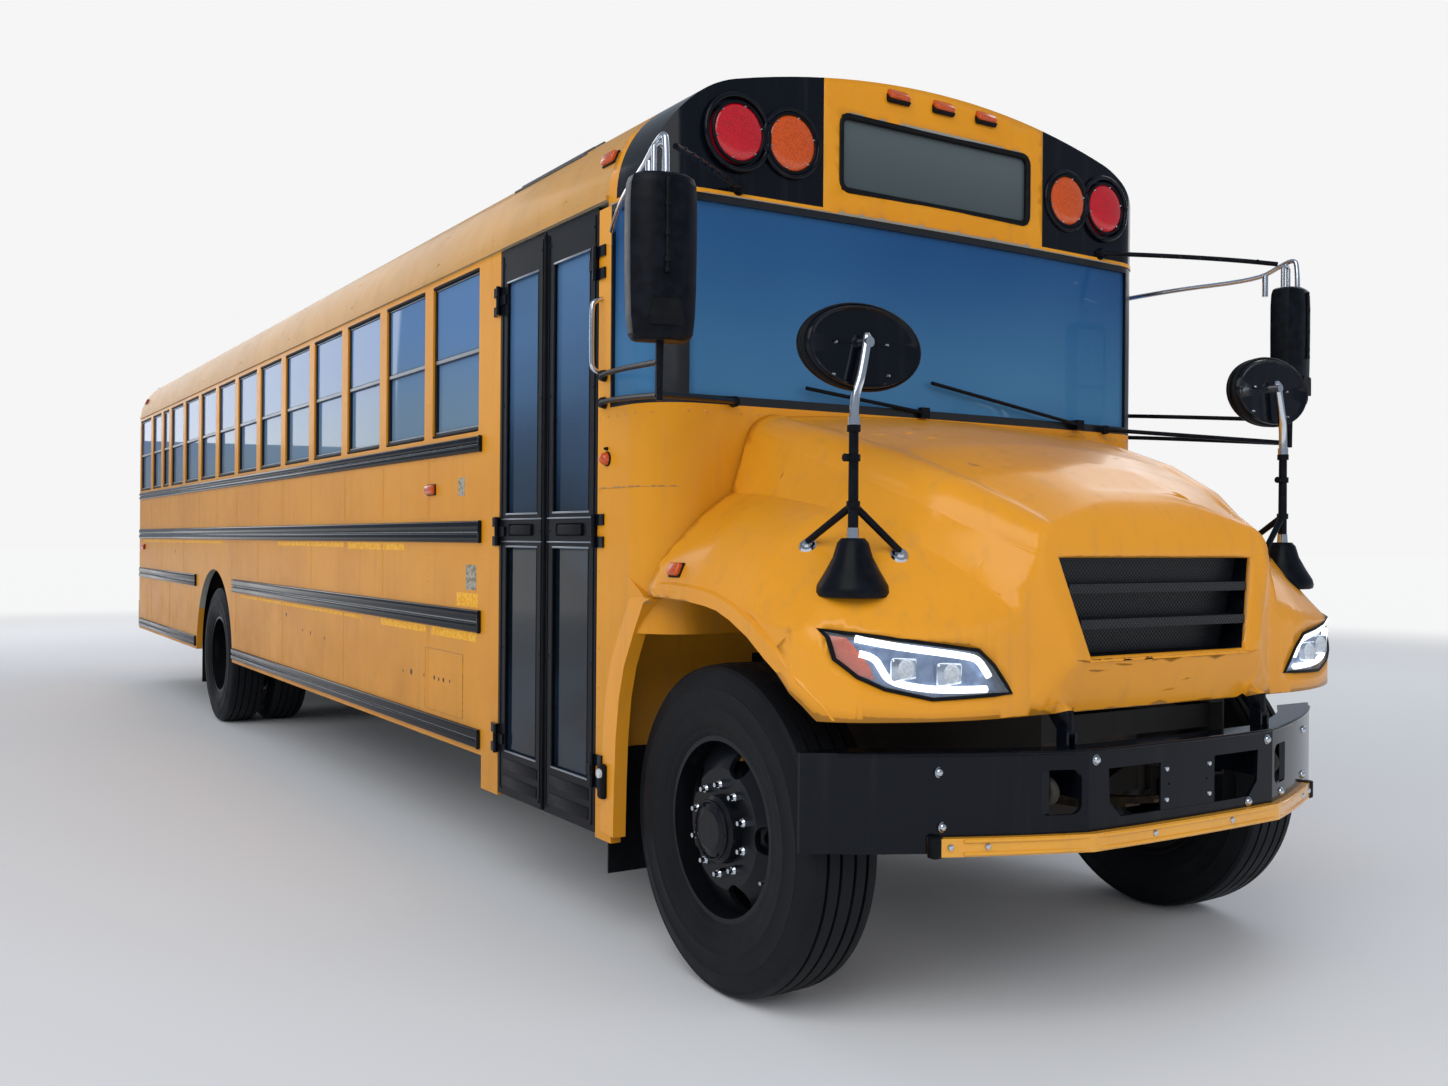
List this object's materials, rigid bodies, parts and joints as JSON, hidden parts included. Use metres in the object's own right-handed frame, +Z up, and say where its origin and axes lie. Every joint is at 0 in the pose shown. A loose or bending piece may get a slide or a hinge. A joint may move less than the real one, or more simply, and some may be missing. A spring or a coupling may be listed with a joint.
{
  "type": "school bus",
  "caption": "Conventional school bus with a long front hood, flat-sided windowed body, twin rear wheels, split entrance door and fold-out mirrors.",
  "frame": {"origin": "on the road plane under the middle of the bus's outer box", "axes": "+X forward along the bus, +Y to the driver's side (left), +Z up"},
  "size_m": [12.04, 3.2, 3.1953],
  "materials": {
    "body_yellow": "gloss",
    "roof_yellow": "satin",
    "chassis_black": "satin",
    "gloss_black": "gloss",
    "rim_black": "satin",
    "spring_steel": "rough",
    "cast_iron": "rough",
    "sash": "satin",
    "glass": "clear",
    "sign_dark": "tinted",
    "lamp_red": "gloss",
    "lamp_amber": "gloss",
    "lamp_clear": "gloss",
    "rubber": "matte",
    "tyre": "matte",
    "seat": "satin",
    "trim_black": "matte",
    "mirror_black": "gloss",
    "chrome": "polished",
    "stop_red": "gloss",
    "grey_plastic": "matte"
  },
  "bodies": {
    "root": {"chassis_frame": "chassis_black", "front_axle": "chassis_black", "driveline": "chassis_black", "leaf_springs": "spring_steel", "engine": "cast_iron", "fuel_tank": "chassis_black", "exhaust": "spring_steel", "floor": "rubber", "wheel_houses": "rubber", "entrance_steps": "rubber", "side_wall_right": "body_yellow", "side_wall_left": "body_yellow", "roof": "roof_yellow", "front_cap": "body_yellow", "lamp_pods": "gloss_black", "red_lamps": "lamp_red", "amber_lamps": "lamp_amber", "sign_glass": "sign_dark", "cowl": "body_yellow", "windshield_frame": "trim_black", "windshield": "glass", "window_frames": "sash", "body_glass": "glass", "side_trim": "gloss_black", "rear_wall": "body_yellow", "bumpers": "gloss_black", "bumper_strip": "body_yellow", "seats": "seat", "seat_frames": "chassis_black", "dashboard": "grey_plastic", "rear_view_mirrors": "mirror_black", "wipers": "trim_black", "mud_flaps": "rubber"},
    "hood": {"hood": "body_yellow", "grille": "trim_black", "headlamps": "lamp_clear", "cross_mirrors": "mirror_black", "cross_mirror_arms": "chrome"},
    "door_front": {"door_leaf_front": "gloss_black", "door_glass_front": "glass"},
    "door_rear": {"door_leaf_rear": "gloss_black", "door_glass_rear": "glass"},
    "emergency_door": {"emergency_door": "body_yellow", "emergency_glass": "glass"},
    "roof_hatch_front": {"roof_hatch_front": "roof_yellow"},
    "roof_hatch_rear": {"roof_hatch_rear": "roof_yellow"},
    "stop_arm": {"stop_arm": "stop_red"},
    "knuckle_right": {"knuckle_right": "chassis_black"},
    "knuckle_left": {"knuckle_left": "chassis_black"},
    "tie_rod": {"tie_rod": "chassis_black"},
    "front_wheel_right": {"front_wheel_right": "rim_black", "front_tyre_right": "tyre"},
    "front_wheel_left": {"front_wheel_left": "rim_black", "front_tyre_left": "tyre"},
    "rear_wheels_right": {"rear_wheels_right": "rim_black", "rear_tyres_right": "tyre"},
    "rear_wheels_left": {"rear_wheels_left": "rim_black", "rear_tyres_left": "tyre"}
  },
  "joints": [
    {"name": "steer_right", "type": "hinge", "parent": "root", "child": "knuckle_right", "pos_m": [5.08, -0.835, 0.527], "axis": [0, 0, 1], "range_deg": [-35, 35]},
    {"name": "steer_left", "type": "hinge", "parent": "root", "child": "knuckle_left", "pos_m": [5.08, 0.835, 0.527], "axis": [0, 0, 1], "range_deg": [-35, 35]},
    {"name": "tie_rod_pivot", "type": "hinge", "parent": "knuckle_left", "child": "tie_rod", "pos_m": [4.87, 0.835, 0.527], "axis": [0, 0, 1], "range_deg": [-35, 35]},
    {"name": "front_wheel_spin_right", "type": "hinge", "parent": "knuckle_right", "child": "front_wheel_right", "pos_m": [5.08, -1.01, 0.527], "axis": [0, 1, 0], "continuous": true},
    {"name": "front_wheel_spin_left", "type": "hinge", "parent": "knuckle_left", "child": "front_wheel_left", "pos_m": [5.08, 1.01, 0.527], "axis": [0, 1, 0], "continuous": true},
    {"name": "rear_wheel_spin_right", "type": "hinge", "parent": "root", "child": "rear_wheels_right", "pos_m": [-2.23, -0.895, 0.527], "axis": [0, 1, 0], "continuous": true},
    {"name": "rear_wheel_spin_left", "type": "hinge", "parent": "root", "child": "rear_wheels_left", "pos_m": [-2.23, 0.895, 0.527], "axis": [0, 1, 0], "continuous": true},
    {"name": "entrance_door_front", "type": "hinge", "parent": "root", "child": "door_front", "pos_m": [4.395, -1.233, 1.5], "axis": [0, 0, 1], "range_deg": [0, 90]},
    {"name": "entrance_door_rear", "type": "hinge", "parent": "root", "child": "door_rear", "pos_m": [3.505, -1.233, 1.5], "axis": [0, 0, 1], "range_deg": [-90, 0]},
    {"name": "emergency_door_hinge", "type": "hinge", "parent": "root", "child": "emergency_door", "pos_m": [-5.912, -0.452, 1.6], "axis": [0, 0, 1], "range_deg": [0, 110]},
    {"name": "hood_hinge", "type": "hinge", "parent": "root", "child": "hood", "pos_m": [5.92, 0, 0.895], "axis": [0, 1, 0], "range_deg": [0, 65]},
    {"name": "stop_arm_hinge", "type": "hinge", "parent": "root", "child": "stop_arm", "pos_m": [3.27, 1.252, 1.66], "axis": [0, 0, 1], "range_deg": [-90, 0]},
    {"name": "roof_hatch_front_hinge", "type": "hinge", "parent": "root", "child": "roof_hatch_front", "pos_m": [1.831, 0, 3.183], "axis": [0, 1, 0], "range_deg": [0, 60]},
    {"name": "roof_hatch_rear_hinge", "type": "hinge", "parent": "root", "child": "roof_hatch_rear", "pos_m": [-2.769, 0, 3.183], "axis": [0, 1, 0], "range_deg": [0, 60]}
  ],
  "couplings": [
    {"joint": "steer_left", "follows": "steer_right", "ratio": 1},
    {"joint": "tie_rod_pivot", "follows": "steer_right", "ratio": -1},
    {"joint": "entrance_door_rear", "follows": "entrance_door_front", "ratio": -1}
  ]
}
